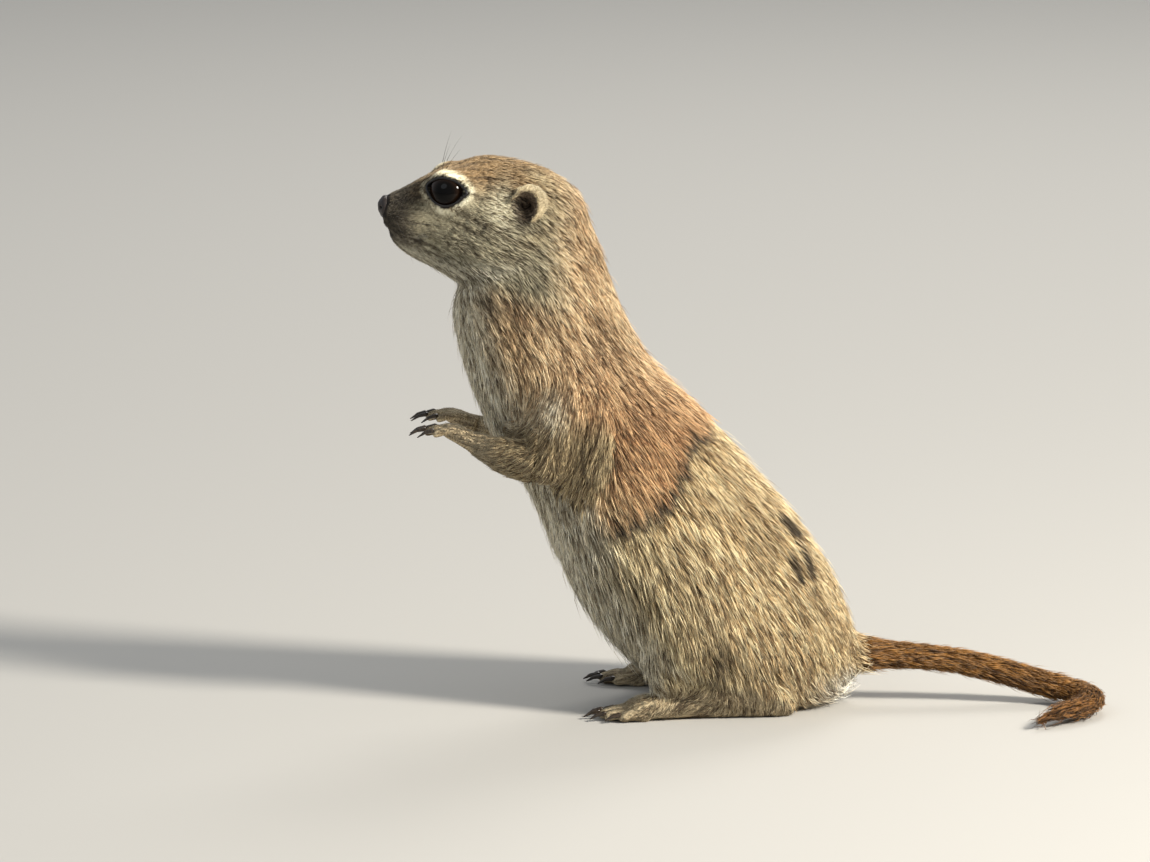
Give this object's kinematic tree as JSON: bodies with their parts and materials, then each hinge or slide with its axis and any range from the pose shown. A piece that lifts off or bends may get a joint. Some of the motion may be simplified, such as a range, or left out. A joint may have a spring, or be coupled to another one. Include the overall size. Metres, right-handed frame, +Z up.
{
  "type": "round-tailed ground squirrel model",
  "caption": "Life-size ground squirrel sitting upright on its haunches, forepaws held out in front at breast height, tail laid in a hook behind.",
  "frame": {"origin": "the point on the floor under the rump, in the plane between the animal's two sides", "axes": "+Z up; the animal faces -X, with its left side on -Y and its tail on +X"},
  "size_m": [0.1549, 0.0586, 0.1177],
  "materials": {
    "head_coat": "short agouti fur, rust brown on the crown and grey buff on the cheek",
    "front_coat": "new cinnamon fur of the neck, shoulders and chest",
    "rear_coat": "older sandy fur of the back, flanks and haunches",
    "limb_coat": "short buff fur of the arms, legs and feet",
    "tail_coat": "dark cinnamon fur with fine pale ticking",
    "eye": "wet, nearly black brown",
    "nose": "moist dark skin",
    "claw": "dark horn"
  },
  "bodies": {
    "root": {"belly_and_rump": "rear_coat", "chest": "front_coat", "claw_foot_left_1": "claw", "claw_foot_left_2": "claw", "claw_foot_left_3": "claw", "claw_foot_left_4": "claw", "claw_foot_left_5": "claw", "claw_foot_right_1": "claw", "claw_foot_right_2": "claw", "claw_foot_right_3": "claw", "claw_foot_right_4": "claw", "claw_foot_right_5": "claw", "claw_hand_left_1": "claw", "claw_hand_left_2": "claw", "claw_hand_left_3": "claw", "claw_hand_left_4": "claw", "claw_hand_right_1": "claw", "claw_hand_right_2": "claw", "claw_hand_right_3": "claw", "claw_hand_right_4": "claw", "ear_left": "head_coat", "ear_right": "head_coat", "eye_left": "eye", "eye_right": "eye", "foot_left": "limb_coat", "foot_right": "limb_coat", "forearm_left": "limb_coat", "forearm_right": "limb_coat", "hand_left": "limb_coat", "hand_right": "limb_coat", "head": "head_coat", "neck": "front_coat", "nose": "nose", "shank_left": "limb_coat", "shank_right": "limb_coat", "tail_base": "tail_coat", "tail_middle": "tail_coat", "tail_tip": "tail_coat", "thigh_left": "rear_coat", "thigh_right": "rear_coat", "upper_arm_left": "limb_coat", "upper_arm_right": "limb_coat"}
  },
  "joints": []
}
